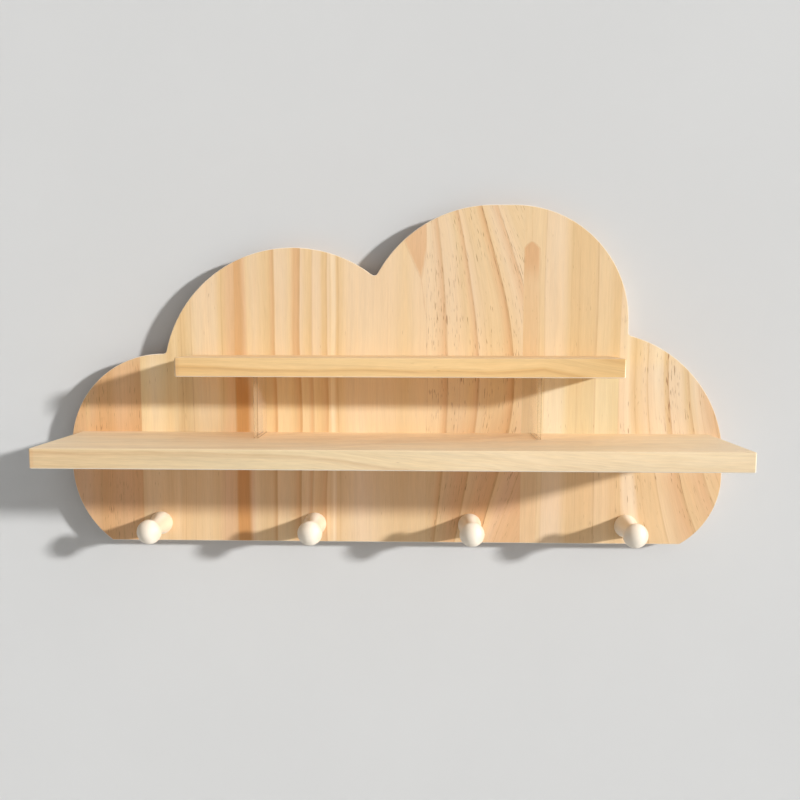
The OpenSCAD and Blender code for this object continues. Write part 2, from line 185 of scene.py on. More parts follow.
def inset(path, share, distance):
    """The path moved inwards. Each side moves by the distance times its own share, and a
    corner goes where its two moved sides meet."""
    after = inward(path)
    before = np.roll(after, 1, 0)
    b = (share * distance)[:, None]
    a = np.roll(share * distance, 1)[:, None]
    c = np.sum(before * after, 1, keepdims=True)
    bend = 1 - c ** 2
    meet = ((a - b * c) * before + (b - a * c) * after) / np.maximum(bend, 1e-9)
    return path + np.where(bend < 1e-7, b * after, meet)


def eased(thickness, front, back):
    """Profile of a slab's edge, as rows of distance inwards and depth: a narrow flat strip, a
    quarter circle at the front, a straight side, a quarter circle at the back and a strip again."""
    strip, steps = 0.25, 5
    a = np.radians(np.linspace(0, 90, steps + 1))
    return np.concatenate([
        [[front + strip, 0.0]],
        np.stack([front * (1 - np.sin(a)), front * (1 - np.cos(a))], 1),
        np.stack([back * (1 - np.cos(a)), thickness - back * (1 - np.sin(a))], 1),
        [[back + strip, thickness]],
    ])


def on_wall(path, depth, front=-PANEL_T):
    """Points across X and up Z, depth behind the front."""
    return np.stack([path[:, 0], np.full(len(path), front + depth), path[:, 1]], 1)


def from_back(path, depth):
    """Points across X and up Z, depth in front of the wall."""
    return on_wall(path, -depth, 0.0)


class Shell:
    """A closed piece gathered ring by ring, in millimetres."""

    def __init__(self):
        self.points, self.faces, self.smooth, self.count = [], [], [], 0

    def ring(self, points):
        """Adds a closed row of points and gives their numbers."""
        self.points.append(np.asarray(points, float))
        self.count += len(points)
        return np.arange(self.count - len(points), self.count)

    def wall(self, rings):
        """Joins each ring to the next with four-sided faces."""
        for a, b in zip(rings, rings[1:]):
            self.faces += np.stack([a, np.roll(a, -1), np.roll(b, -1), b], 1).tolist()
            self.smooth += [True] * len(a)

    def cap(self, outer, holes=()):
        """Fills a flat ring with triangles, around any holes."""
        rings = [outer, *holes]
        flat = np.concatenate(rings)
        points = np.concatenate(self.points)
        faces = tessellate_polygon([[Vector(p) for p in points[r]] for r in rings])
        self.faces += [[int(flat[i]) for i in face] for face in faces]
        self.smooth += [False] * len(faces)

    def tip(self, ring, point):
        """Closes a ring to one point with triangles."""
        top = self.ring([point])[0]
        self.faces += [[int(a), int(b), int(top)] for a, b in zip(ring, np.roll(ring, -1))]
        self.smooth += [True] * len(ring)

    def bore(self, place, centre, steps):
        """A round hole whose radius and depth follow the steps. Gives the ring at its mouth."""
        rings = [self.ring(place(circle(centre, r), d)) for r, d in steps]
        self.wall(rings)
        self.cap(rings[-1])
        return rings[0]

    def piece(self, name, finish, nodes, sharp=35):
        """Makes the object, faces outwards, in place of the nodes that it stands for."""
        mesh = bpy.data.meshes.new(name)
        mesh.from_pydata((np.concatenate(self.points) * MM).tolist(), [], self.faces)
        mesh.polygons.foreach_set("use_smooth", self.smooth)
        form = bmesh.new()
        form.from_mesh(mesh)
        bmesh.ops.recalc_face_normals(form, faces=form.faces)
        form.to_mesh(mesh)
        form.free()
        mesh.set_sharp_from_angle(angle=math.radians(sharp))
        mesh.materials.append(finish)
        obj = bpy.data.objects.new(name, mesh)
        bpy.context.scene.collection.objects.link(obj)
        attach(obj, "root")
        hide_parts(*nodes)
        return obj


# Material shorthand
def srgb(r, g, b):
    """A colour as a paint chart gives it, 0 to 255, made linear."""
    c = np.array([r, g, b]) / 255
    lin = np.where(c <= 0.04045, c / 12.92, ((c + 0.055) / 1.055) ** 2.4)
    return (*[float(v) for v in lin], 1.0)


class Term:
    """A value among the nodes. Arithmetic on it adds the Math nodes."""

    def __init__(self, nodes, socket):
        self.nodes, self.socket = nodes, socket

    def _math(self, operation, a, b):
        made = self.nodes.node("ShaderNodeMath", {"operation": operation}, {0: a, 1: b})
        return Term(self.nodes, made.outputs[0])

    def __add__(self, other):
        return self._math("ADD", self, other)

    def __radd__(self, other):
        return self._math("ADD", other, self)

    def __sub__(self, other):
        return self._math("SUBTRACT", self, other)

    def __rsub__(self, other):
        return self._math("SUBTRACT", other, self)

    def __mul__(self, other):
        return self._math("MULTIPLY", self, other)

    def __rmul__(self, other):
        return self._math("MULTIPLY", other, self)

    def __pow__(self, other):
        return self._math("POWER", self, other)

    def __abs__(self):
        return self._math("ABSOLUTE", self, 0.0)

    def least(self, other):
        """The lower of two values."""
        return self._math("MINIMUM", self, other)

    def most(self, other):
        """The higher of two values."""
        return self._math("MAXIMUM", self, other)

    def wrapped(self):
        """What is left over a whole number."""
        return self._math("FRACT", self, 0.0)


class Nodes:
    """The nodes of a material or of the world."""

    def __init__(self, owner, end):
        owner.use_nodes = True
        self.tree = owner.node_tree
        self.tree.nodes.clear()
        self.end = self.tree.nodes.new(end)

    def surface(self, shader):
        """Links the last shader to the output."""
        self.tree.links.new(shader.outputs[0], self.end.inputs["Surface"])

    def node(self, kind, settings=None, inputs=None):
        """Adds a node, with its settings first and then the values or links of its sockets."""
        made = self.tree.nodes.new(kind)
        for key, value in (settings or {}).items():
            if key == "stops":
                ramp = made.color_ramp.elements
                while len(ramp) < len(value):
                    ramp.new(0.5)
                for stop, (position, colour) in zip(ramp, value):
                    stop.position, stop.color = position, colour
            else:
                setattr(made, key, value)
        for key, value in (inputs or {}).items():
            socket = made.inputs[key]
            if isinstance(value, Term):
                value = value.socket
            if isinstance(value, bpy.types.NodeSocket):
                self.tree.links.new(value, socket)
            else:
                socket.default_value = value
        return made


class Finish(Nodes):
    """A material on Object coordinates, in millimetres."""

    def __init__(self, name):
        self.material = bpy.data.materials.new(name)
        super().__init__(self.material, "ShaderNodeOutputMaterial")
        place = self.node("ShaderNodeTexCoord").outputs["Object"]
        apart = self.node("ShaderNodeSeparateXYZ", {}, {0: place})
        self.x, self.y, self.z = (Term(self, s) * (1 / MM) for s in apart.outputs)

    def streaks(self, u, v, w, width, length, seed, detail):
        """Noise drawn out along v, mostly from -1 to 1. Width and length are its size."""
        at = self.node("ShaderNodeCombineXYZ", {}, {
            0: u * (1 / width) + seed, 1: w * (1 / width), 2: v * (1 / length)})
        made = self.node("ShaderNodeTexNoise", {}, {
            "Vector": at.outputs[0], "Scale": 1.0, "Detail": detail})
        return Term(self, made.outputs["Fac"]) * 4.0 - 2.0

    def ease(self, value, low, high, a=0.0, b=1.0):
        """Goes smoothly from a to b while the value goes from low to high."""
        made = self.node("ShaderNodeMapRange", {"interpolation_type": "SMOOTHSTEP"}, {
            "Value": value, "From Min": low, "From Max": high, "To Min": a, "To Max": b})
        return Term(self, made.outputs["Result"])

    def ramp(self, value, stops):
        """Colour that runs through the stops as the value goes from 0 to 1."""
        made = self.node("ShaderNodeValToRGB", {"stops": stops}, {"Fac": value})
        return made.outputs["Color"]

    def value(self, colour):
        """The red part of a grey colour, as a value."""
        return Term(self, self.node("ShaderNodeSeparateColor", {}, {0: colour}).outputs[0])

    def blend(self, factor, a, b, kind="MIX"):
        """Mixes colour b over colour a."""
        made = self.node("ShaderNodeMix", {"data_type": "RGBA", "blend_type": kind},
                         {0: factor, 6: a, 7: b})
        return made.outputs[2]

    def normal(self, axis):
        """The surface normal's part along an axis, -1 to 1."""
        geometry = self.node("ShaderNodeNewGeometry")
        apart = self.node("ShaderNodeSeparateXYZ", {}, {0: geometry.outputs["Normal"]})
        return Term(self, apart.outputs["XYZ".index(axis)])

    def normal_part(self, axis):
        """Size of the surface normal's part along an axis, 0 to 1."""
        return abs(self.normal(axis))

    def bump(self, height, depth):
        """Relief whose full height is the depth in millimetres."""
        made = self.node("ShaderNodeBump", {}, {"Height": height, "Distance": depth * MM})
        return made.outputs[0]

    def principled(self, **sockets):
        """Ends with one Principled surface and gives the material."""
        names = {key.replace("_", " "): value for key, value in sockets.items()}
        self.surface(self.node("ShaderNodeBsdfPrincipled", {}, names))
        return self.material


# Finishes
PALE = srgb(246, 218, 184)
CREAM = srgb(240, 209, 174)
STRAW = srgb(237, 204, 162)
HONEY = srgb(232, 196, 150)
BLUSH = srgb(231, 190, 150)
TAN = srgb(227, 182, 137)
AMBER = srgb(222, 174, 126)
HEART = srgb(214, 154, 96)
DUCT = srgb(140, 84, 42)
LATE = srgb(190, 140, 90)
GOLD = srgb(246, 210, 154)
DEEP_GOLD = srgb(239, 198, 138)
SAWN = srgb(198, 160, 120)
# Painted shade for the sawn sides that face right, towards the sun
SAWN_PAINTED_SHADE = srgb(158, 130, 100)
# Rim colours, painted: shade on rounded edges that face right towards the sun, and a highlight on
# rounded edges that face left and on the shelves' lower edges
PAINTED_RIM_SHADE = srgb(202, 186, 162)
PAINTED_RIM_HIGHLIGHT = srgb(254, 244, 228)

# The noises in pine: width and length in millimetres, own seed, and detail
GRAIN = {
    "drift": (30.0, 260.0, 3.1, 1.0),
    "jump": (7.0, 200.0, 91.6, 1.0),
    "broad": (6.0, 150.0, 11.3, 3.0),
    "fine": (1.3, 38.0, 23.9, 3.0),
    "hair": (0.7, 14.0, 37.7, 2.0),
    "warm": (12.0, 110.0, 45.1, 3.0),
    "plain": (9.0, 70.0, 29.8, 1.0),
    "broken": (1.5, 22.0, 71.9, 2.0),
    "duct": (0.95, 12.0, 51.2, 1.0),
    "crowd": (14.0, 90.0, 67.4, 2.0),
}

# Shares by which the fibres shade the tone, and by which fine ones and warm patches tint it
BROAD_SHADE, FINE_SHADE, HAIR_SHADE = 0.042, 0.016, 0.036
FINE_TINT, WARM_TINT = (0.008, 0.022), (0.018, 0.05)
# Strengths of the darker ring lines and end grain, and of the painted highlight and shade on
# rounded edges
RING_INK, END_INK, RIM_PAINT_SHARE = 0.22, 0.22, 0.8

# Depth of the relief on sanded wood, and how far the grain slides sideways per unit of depth
RELIEF = 0.03
SLANT = 0.35

# The golden share above the upper shelf and its reach, and the heights where the painted warm
# shade below the lower shelf starts and is full
GOLDEN, GOLDEN_REACH = 0.035, 70.0
SHADE_TINT_BOTTOM, SHADE_TINT_TOP = -198.0, -180.0


def bands(places, width):
    """Ramp stops for tones at places in millimetres."""
    return [(at / width, tone) for at, tone in places]


def rings(lines, width):
    """Ramp stops for dark lines on nothing: a soft rise over the reach, and a sharp drop."""
    drop = 0.5
    clear = (0, 0, 0, 1)
    stops = [(0.0, clear)]
    for at, reach, strength in lines:
        ink = (strength, strength, strength, 1)
        stops += [((at - reach) / width, clear), (at / width, ink), ((at + drop) / width, clear)]
    return stops


def pine(f, s, v, w, tone, line, end, edge, seed, dashes=0.5, fibre=1.0, growth=0.5,
         pitch=5.5, ducts=0.55, sides=0.65):
    """Sanded pine under a clear matt coat, finished from the board's own tone and dark lines.
    Over them lie faint yearly rings, fibres, warm and cool patches, short dark resin ducts that
    gather along the lines, a darker end grain, and narrow sides in a sawn tone that is painted
    darker, as shade, where they face right towards the sun. Rounded edges take the edge colour,
    which paints a highlight and shade on them. Across, along and depth are s, v and w."""
    drift, jump, broad, fine, hair, warm, plain, broken, duct, crowd = (
        f.streaks(s, v, w, width, length, seed + own, detail)
        for width, length, own, detail in GRAIN.values())
    year = (s * (1 / pitch) + drift * 0.8 + jump * 0.7 + seed).wrapped()
    late = (year ** 4.0) * (1.0 - f.ease(year, 0.93, 1.0)) * f.ease(jump, -0.7, 0.7, 0.1, 1.0)
    fine = fine * f.ease(plain, -0.6, 0.6, 0.4, 1.3)
    shade = 1.0 + fibre * (BROAD_SHADE * broad + FINE_SHADE * fine + HAIR_SHADE * hair)
    green, blue = (
        shade - by_warm * warm + fibre * by_fine * fine
        for by_warm, by_fine in zip(WARM_TINT, FINE_TINT))
    level = f.node("ShaderNodeCombineColor", {}, {0: shade, 1: green, 2: blue})
    colour = f.blend(1.0, tone, level.outputs[0], "MULTIPLY")
    ink = (line * f.ease(broken, -1.2, 0.9, 0.45, 1.0) + late * (RING_INK * growth)).least(1.0)
    colour = f.blend(ink, colour, LATE)
    start = 0.98 - 0.42 * dashes
    mark = f.ease(duct + crowd * 0.3 + line * 0.6, start, start + 0.5)
    colour = f.blend(mark * ducts, colour, DUCT)
    colour = f.blend(f.ease(end, 0.55, 0.95) * END_INK, colour, HEART)
    facing = f.normal_part("Y")
    # The narrow sides take a sawn tone, painted darker as shade where they face right towards the
    # sun
    sawn_and_shade = f.blend(f.ease(f.normal("X"), 0.05, 0.4), SAWN, SAWN_PAINTED_SHADE)
    colour = f.blend(f.ease(facing, 0.1, 0.35, 1.0, 0.0) * sides, colour, sawn_and_shade)
    # Rounded edges take the edge colour: painted highlight and painted shade
    rim = f.ease(facing, 0.1, 0.35) * f.ease(facing, 0.9, 0.985, 1.0, 0.0)
    colour = f.blend(rim * RIM_PAINT_SHARE, colour, edge)
    rough = 0.56 + 0.05 * broad - 0.05 * late
    relief = f.bump(0.5 + 0.2 * fine + 0.1 * hair - 0.15 * mark, RELIEF)
    return f.principled(Base_Color=colour, Roughness=rough, Specular_IOR_Level=0.3, Normal=relief)


def stave_finish(name, left, upper, lower=None, turn=(-60.0, -140.0), lines=(), flames=(),
                 lean=0.0, bow=0.0, bow_at=-50.0, fan=0.0, wave=1.3, width=100.0, seed=0.0,
                 painted_lift=(0.04, 0.10, 0.09), reach=400.0, shade_tint=0.05, **more):
    """Pine whose grain runs up the board. Tones and lines go by place across the stave, in
    millimetres from its left joint. They lean with height, bow by the square of the height from
    bow_at, the more so to the right by the fan, run straight on past the reach, wander with the
    wave and slant with depth. The lower tones take over as the height falls through the turn. On
    the front, the lift adds its shares of red, green and blue between the shelves, as painted
    light and shade there, the board is more golden just above them, and a painted warm shade
    takes its share of green and blue below them.
    Flames are (place, height, slope, curve, lean, widest, keep, tone): a tongue that widens from
    its tip as a power of the distance, upwards for a positive slope, and keeps that share of its
    strength away from the tip."""
    f = Finish(name)
    swing = f.streaks(f.x, f.z, f.y, 90.0, 130.0, seed + 1.7, 1.0) * wave
    rise = f.z - bow_at
    far = abs(rise)
    held = far.least(reach)
    bend = (held * held + (far - held) * (2 * reach)) * ((f.x - left) * (bow * fan) + bow)
    across = f.x + rise * lean + bend + swing + (f.y + PANEL_T) * SLANT - left
    tone = f.ramp(across * (1 / width), bands(upper, width))
    if lower:
        below = f.ramp(across * (1 / width), bands(lower, width))
        tone = f.blend(f.ease(f.z, turn[1], turn[0], 1.0, 0.0), tone, below)
    front = f.ease(f.normal("Y"), -0.9, -0.5, 1.0, 0.0)
    over_low = f.ease(f.z, LOWER_TOP - SHELF_T, LOWER_TOP)
    over_high = f.ease(f.z, UPPER_TOP - SHELF_T, UPPER_TOP)
    # Painted light and shade: the lift's shares brighten or darken the front between the shelves
    zone = over_low * (1.0 - over_high) * front
    near = over_high * f.ease(f.z, UPPER_TOP, UPPER_TOP + GOLDEN_REACH, GOLDEN, 0.0) * front
    # Painted shade: a warm tint, less green and blue, on the front under the lower shelf
    under = (1.0 - over_low) * f.ease(f.z, SHADE_TINT_BOTTOM, SHADE_TINT_TOP) * front
    red = 1.0 + zone * painted_lift[0]
    green = 1.01 + zone * painted_lift[1] + near - under * shade_tint
    blue = 1.0 + zone * painted_lift[2] + near * 0.6 - over_high * front * GOLDEN - under * (shade_tint * 0.8)
    shift = f.node("ShaderNodeCombineColor", {}, {0: red, 1: green, 2: blue})
    tone = f.blend(1.0, tone, shift.outputs[0], "MULTIPLY")
    ink = f.value(f.ramp(across * (1 / width), rings(lines, width)))
    for at, height, slope, curve, tilt, widest, keep, colour in flames:
        above = (f.z - height) * (1.0 if slope > 0 else -1.0)
        half = (above.most(0.0) * abs(slope)) ** curve
        ragged = f.streaks(f.x, f.z, f.y, 2.0, 16.0, seed + 81.3, 2.0)
        side = half.least(widest) - abs(f.x - left - at - above * tilt) + ragged * 0.8
        strength = f.ease(above, 15.0, 45.0, 0.9, keep)
        tone = f.blend(f.ease(side, -0.6, 2.6) * strength, tone, colour)
        ink = ink + f.ease(side, -0.9, 0.1) * f.ease(side, 0.1, 1.1, 1.0, 0.0) * 0.22
    # Rounded edges: a painted highlight where they face left, painted shade where they face right
    # towards the sun
    edge = f.blend(f.ease(f.normal("X"), 0.05, 0.3), PAINTED_RIM_HIGHLIGHT, PAINTED_RIM_SHADE)
    return pine(f, across + left, f.z, f.y, tone, ink, f.normal_part("Z"), edge, seed, **more)


def shelf_finish(name, tones, lines, top, ends, drift, along, upper, seed=0.0, **more):
    """Pine whose grain runs along the shelf. Tones and lines go by distance from a heart line
    below the board, so that they turn over its front edge, and they sink along it by the drift,
    in millimetres at places along the shelf. A tint goes with the place along it, the level
    faces are in the upper tone, which gives their flat grain and, paler on the lower shelf, paints
    light from above onto its top, and the first millimetres on the left are a little deeper."""
    heart_down, flatness, nearest, width, deepest = 60.0, 0.16, 30.0, 80.0, 30.0
    f = Finish(name)
    swing = f.streaks(f.z, f.x, f.y, 240.0, 120.0, seed + 5.3, 1.0) * 2.0
    place = (f.x - ends[0]) * (1 / (ends[1] - ends[0]))
    sunk = [(at, (down / deepest, 0, 0, 1)) for at, down in drift]
    deep = f.value(f.ramp(place, sunk)) * deepest
    up = f.z - (top - heart_down)
    ring = (up * up + (f.y * f.y) * flatness) ** 0.5 + deep + swing
    across = (ring - nearest) * (1 / width)
    tone = f.ramp(across, bands(tones, width))
    tone = f.blend(1.0, tone, f.ramp(place, along), "MULTIPLY")
    level = f.normal_part("Z")
    # The level faces take the upper tone: partly the flat grain, partly painted light on the lower
    # shelf's top
    tone = f.blend(f.ease(level, 0.5, 0.9) * 0.8, tone, upper)
    tip = f.ease(f.x - ends[0], 3.0, 5.5, 1.0, 0.0)
    tone = f.blend(tip * f.ease(level, 0.1, 0.4, 0.3, 0.0), tone, AMBER)
    ink = f.value(f.ramp(across, rings(lines, width)))
    ink = ink * f.ease(level, 0.5, 0.9, 1.0, 0.5)
    # Rounded edges that face down take a painted highlight; those that face up keep the tone
    edge = f.blend(f.ease(f.normal("Z"), -0.2, 0.2), PAINTED_RIM_HIGHLIGHT, tone)
    return pine(f, ring, f.x, f.y * 0.3, tone, ink, f.normal_part("X"), edge, seed, sides=0.0,
                **more)


def birch_finish():
    """Turned birch: nearly white, with faint fibres along the peg, and painted shade, darker and
    warmer, on the sides that face right towards the sun.
    """
    f = Finish("turned_birch")
    fine = f.streaks(f.x, f.y, f.z, 0.8, 14.0, 4.4, 3.0)
    broad = f.streaks(f.x, f.y, f.z, 4.0, 40.0, 9.1, 2.0)
    cloud = f.streaks(f.x, f.y, f.z, 3.0, 3.0, 14.1, 3.0)
    shade = 1.0 + 0.016 * fine + 0.018 * broad + 0.012 * cloud
    level = f.node("ShaderNodeCombineColor", {}, {0: shade, 1: shade, 2: shade + 0.012 * broad})
    # Painted shade: sides that face right, towards the low sun, are darker and warmer
    base = f.blend(f.ease(f.normal("X"), 0.25, 0.85), srgb(250, 238, 220), srgb(228, 202, 174))
    colour = f.blend(1.0, base, level.outputs[0], "MULTIPLY")
    return f.principled(Base_Color=colour, Roughness=0.48 + 0.04 * broad, Specular_IOR_Level=0.4,
                        Normal=f.bump(0.5 + 0.2 * fine, RELIEF))


def beech_finish():
    """Raw beech dowel stock with short darker flecks."""
    f = Finish("dowel_beech")
    fine = f.streaks(f.x, f.y, f.z, 0.5, 5.0, 2.2, 3.0)
    fleck = f.ease(f.streaks(f.x, f.y, f.z, 0.4, 2.0, 7.7, 1.0), 0.5, 1.0)
    colour = f.blend(0.5 + 0.4 * fine, srgb(206, 164, 118), srgb(222, 186, 142))
    colour = f.blend(fleck * 0.4, colour, srgb(160, 112, 72))
    return f.principled(Base_Color=colour, Roughness=0.7 + 0.05 * fine,
                        Normal=f.bump(0.5 + 0.3 * fine, 0.05))


def steel_finish(name, along, tone, rough):
    """Bright zinc on pressed steel: fine brushing along one axis and cloudy spangle."""
    f = Finish(name)
    axes = [f.x, f.z] if along == "Z" else [f.z, f.x]
    brush = f.streaks(axes[0], axes[1], f.y, 0.12, 5.0, 3.3, 3.0)
    cloud = f.streaks(f.x, f.z, f.y, 5.0, 5.0, 8.1, 2.0)
    dull = srgb(*(c - 14 for c in tone))
    colour = f.blend(0.5 + 0.3 * brush + 0.2 * cloud, dull, srgb(*tone))
    return f.principled(Base_Color=colour, Metallic=1.0,
                        Roughness=rough + 0.07 * brush + 0.05 * cloud,
                        Normal=f.bump(0.5 + 0.3 * brush, 0.01))


def clear_finish():
    """Clear plastic plate: its faces hardly show. The front edge is tan, its right-hand chamfer
    is dark and its left-hand one pale, painted to stand in for the wood seen and reflected in the
    clear edges, and a dark line of painted shade shows where the plate enters the shelf."""
    f = Finish("clear_plate")
    side = f.normal("X")
    face = f.ease(abs(side), 0.85, 0.95)
    depth = f.y + (PANEL_T + SUPPORT_DEPTH)
    front = f.ease(depth, 4.0, 0.5)
    # Painted: the dark right-hand chamfer stands in for reflection in the clear edge, and the dark
    # foot is painted shade where the plate meets the shelf
    dark = f.ease(side, 0.3, 0.6) * (1.0 - face) * front
    foot = f.ease(f.z, LOWER_TOP + 1.1, LOWER_TOP + 0.6) * face
    haze = f.streaks(f.y, f.z, f.x, 12.0, 12.0, 2.0, 2.0)
    colour = f.blend(face, srgb(214, 180, 138), srgb(246, 226, 208))
    colour = f.blend((dark + foot).least(1.0), colour, srgb(112, 82, 44))
    alpha = 0.03 + 0.01 * haze + 0.09 * face + 0.3 * front * (1.0 - face)
    alpha = alpha + 0.3 * dark + 0.45 * foot
    return f.principled(Base_Color=colour, Alpha=alpha, Roughness=0.08 + 0.01 * haze, IOR=1.49,
                        Specular_IOR_Level=0.5)


# Each stave's settings include its painted light and shade between the shelves and its painted warm
# shade below them
STAVES = {
    "stave_1": stave_finish("pine_stave_1", -330.0, [
        (0, HONEY), (14, TAN), (20, TAN), (23, HONEY), (28, BLUSH), (36, TAN), (48, TAN),
        (54, BLUSH), (66, BLUSH), (76, TAN), (80, BLUSH)], [
        (0, TAN), (20, BLUSH), (28, TAN), (40, AMBER), (62, TAN), (80, AMBER)],
        lines=[(36.0, 2.0, 0.25), (44.5, 0.8, 0.3), (46.5, 0.8, 0.2), (57.5, 2.0, 0.15),
               (68.0, 0.8, 0.2)], seed=1.0, dashes=1.0, painted_lift=(-0.04, -0.06, -0.12)),
    "stave_2": stave_finish("pine_stave_2", -252.5, [
        (0, HONEY), (5, STRAW), (12, CREAM), (24, STRAW), (30, HONEY), (36, STRAW), (40, HONEY),
        (46, HONEY), (52, STRAW), (60, CREAM), (76, CREAM), (80, STRAW), (83, HONEY),
        (90, BLUSH), (96, TAN)], [
        (0, HONEY), (6, STRAW), (16, STRAW), (29, HONEY), (36, STRAW), (40, HONEY), (48, HONEY),
        (66, STRAW), (76, HONEY), (84, BLUSH), (96, TAN)],
        lines=[(28.0, 1.0, 0.12), (43.0, 1.5, 0.3), (53.0, 0.9, 0.4), (83.0, 0.8, 0.3)],
        seed=2.0, dashes=0.3, painted_lift=(0.07, 0.14, 0.13)),
    "stave_3": stave_finish("pine_stave_3", -157.5, [
        (0, TAN), (2, AMBER), (7, AMBER), (11, BLUSH), (14, STRAW), (20, CREAM), (28, STRAW),
        (35, HONEY), (40, TAN), (41.2, STRAW), (42, CREAM), (50, CREAM), (56, STRAW), (60, TAN),
        (65, TAN), (66, CREAM), (71, STRAW), (76, HONEY), (78, CREAM), (84, CREAM), (88, HONEY),
        (91.5, HONEY), (93, CREAM), (100, STRAW)], [
        (0, AMBER), (1.5, HEART), (12, HEART), (16, BLUSH), (20, STRAW), (28, HONEY),
        (36, HONEY), (41, AMBER), (42, STRAW), (52, STRAW), (57, HONEY), (65, AMBER),
        (66, STRAW), (72, STRAW), (76, TAN), (78, STRAW), (84, HONEY), (91.5, TAN), (93, STRAW),
        (100, HONEY)], turn=(-20.0, -70.0),
        lines=[(40.8, 2.5, 0.35), (65.6, 3.0, 0.45), (77.6, 1.6, 0.35), (92.0, 2.2, 0.35)],
        seed=3.0, dashes=-0.15, wave=1.8, painted_lift=(0.02, 0.08, 0.05)),
    "stave_4": stave_finish("pine_stave_4", -62.5, [
        (0, STRAW), (2, PALE), (4.5, PALE), (7, HONEY), (12, STRAW), (18, CREAM), (40, CREAM),
        (60, CREAM), (76, STRAW), (86, CREAM), (100, CREAM)], [
        (0, STRAW), (2, PALE), (5, HONEY), (14, STRAW), (30, CREAM), (50, STRAW), (70, HONEY),
        (100, STRAW)], lines=[(8.6, 1.8, 0.3)],
        flames=[(90.0, 44.0, 0.32, 1.0, -0.13, 13.0, 0.8, TAN)], seed=4.0, dashes=0.0, lean=0.01),
    "stave_5": stave_finish("pine_stave_5", 32.5, [
        (0, CREAM), (12, CREAM), (20, BLUSH), (22.3, CREAM), (34, CREAM), (44, STRAW),
        (51, BLUSH), (52.5, CREAM), (64, STRAW), (76, STRAW), (85, TAN), (87.2, STRAW),
        (98, CREAM), (108, BLUSH), (110.5, CREAM), (124, STRAW)], [
        (0, HONEY), (14, HONEY), (21, AMBER), (23, HONEY), (40, TAN), (51, AMBER), (53, HONEY),
        (70, TAN), (85, AMBER), (88, HONEY), (100, BLUSH), (124, TAN)],
        lines=[(1.5, 0.6, 0.3), (13.0, 0.7, 0.2), (22.0, 2.5, 0.5), (33.5, 0.8, 0.2),
               (52.0, 2.5, 0.5), (60.5, 0.7, 0.25), (86.8, 3.0, 0.75), (110.0, 1.2, 0.55)],
        seed=5.0, dashes=1.05, ducts=0.65, bow=0.00034, fan=0.0485, width=130.0),
    "stave_6": stave_finish("pine_stave_6", 127.5, [
        (0, STRAW), (6, STRAW), (12, STRAW), (20, STRAW), (22, CREAM), (38, CREAM), (43, STRAW),
        (47, HONEY), (60, HONEY), (70, HONEY), (74, STRAW), (84, STRAW), (90, HONEY),
        (98, HONEY)],
        lines=[(21.0, 0.8, 0.3), (46.5, 0.8, 0.15), (54.5, 0.8, 0.25), (73.0, 1.8, 0.4)],
        flames=[(7.5, 82.0, -3.0, 0.7, 0.0, 8.5, 0.3, AMBER)], seed=6.0, dashes=0.35,
        painted_lift=(-0.05, 0.12, 0.20), shade_tint=0.015),
    "stave_7": stave_finish("pine_stave_7", 222.5, [
        (0, HONEY), (2, CREAM), (10, PALE), (13, STRAW), (17, HONEY), (21, STRAW), (26, CREAM),
        (28, STRAW), (29, CREAM), (38, PALE), (42, CREAM), (44, HONEY), (47, STRAW), (48, CREAM),
        (58, CREAM), (64, HONEY), (68, STRAW), (72, CREAM), (82, BLUSH), (90, TAN),
        (104, TAN)], [
        (0, HONEY), (3, PALE), (10, PALE), (13, HONEY), (28, HONEY), (29, STRAW), (44, TAN),
        (48, HONEY), (64, TAN), (68, HONEY), (90, TAN), (104, TAN)], turn=(-110.0, -160.0),
        lines=[(16.5, 1.0, 0.2), (28.5, 1.0, 0.4), (47.5, 3.5, 0.6), (67.0, 3.0, 0.45),
               (76.5, 0.8, 0.3), (88.0, 1.0, 0.4), (95.0, 1.0, 0.5)],
        seed=7.0, dashes=0.85, ducts=0.65, bow=-0.00013, bow_at=-30.0, fan=0.127, width=110.0,
        painted_lift=(-0.05, 0.0, 0.03), reach=85.0, shade_tint=0.0),
}

LOWER_WOOD = shelf_finish(
    "pine_lower_shelf",
    [(0, STRAW), (8, PALE), (14, CREAM), (18, STRAW), (19, PALE), (26, PALE), (33, CREAM),
     (35, STRAW), (36, PALE), (44, PALE), (50, CREAM), (52, PALE), (80, PALE)],
    [(12.0, 3.0, 0.2), (18.4, 2.0, 0.35), (21.0, 0.8, 0.15), (24.0, 0.8, 0.15),
     (29.0, 1.2, 0.3), (35.6, 3.0, 0.3), (42.0, 1.0, 0.15), (50.5, 3.0, 0.25)],
    LOWER_TOP, LOWER_ENDS,
    [(0.0, 3), (0.25, 2), (0.38, 4), (0.5, 12), (0.62, 14), (0.8, 25), (1.0, 28)],
    [(0.0, srgb(240, 237, 221)), (0.35, srgb(247, 250, 238)), (0.7, srgb(254, 255, 246)),
     (1.0, srgb(240, 243, 236))],
    srgb(252, 226, 188), seed=31.0, dashes=-0.2, ducts=0.35, fibre=1.7, growth=0.8, pitch=3.0)
UPPER_WOOD = shelf_finish(
    "pine_upper_shelf",
    [(0, GOLD), (10, GOLD), (17, DEEP_GOLD), (19, GOLD), (28, GOLD), (34, DEEP_GOLD),
     (36, GOLD), (46, GOLD), (52, DEEP_GOLD), (80, GOLD)],
    [(18.6, 4.0, 0.35), (24.0, 1.0, 0.2), (33.6, 2.0, 0.35), (44.0, 1.0, 0.15), (51.0, 3.0, 0.3)],
    UPPER_TOP, UPPER_ENDS, [(0.0, 4), (0.4, 6), (0.7, 8), (0.82, 5), (1.0, 17)],
    [(0.0, srgb(250, 244, 236)), (0.4, srgb(255, 255, 255)), (0.7, srgb(251, 247, 241)),
     (1.0, srgb(236, 230, 218))],
    STRAW, seed=43.0, dashes=-0.3, fibre=1.4, growth=0.8, pitch=4.0)
BIRCH = birch_finish()
BEECH = beech_finish()
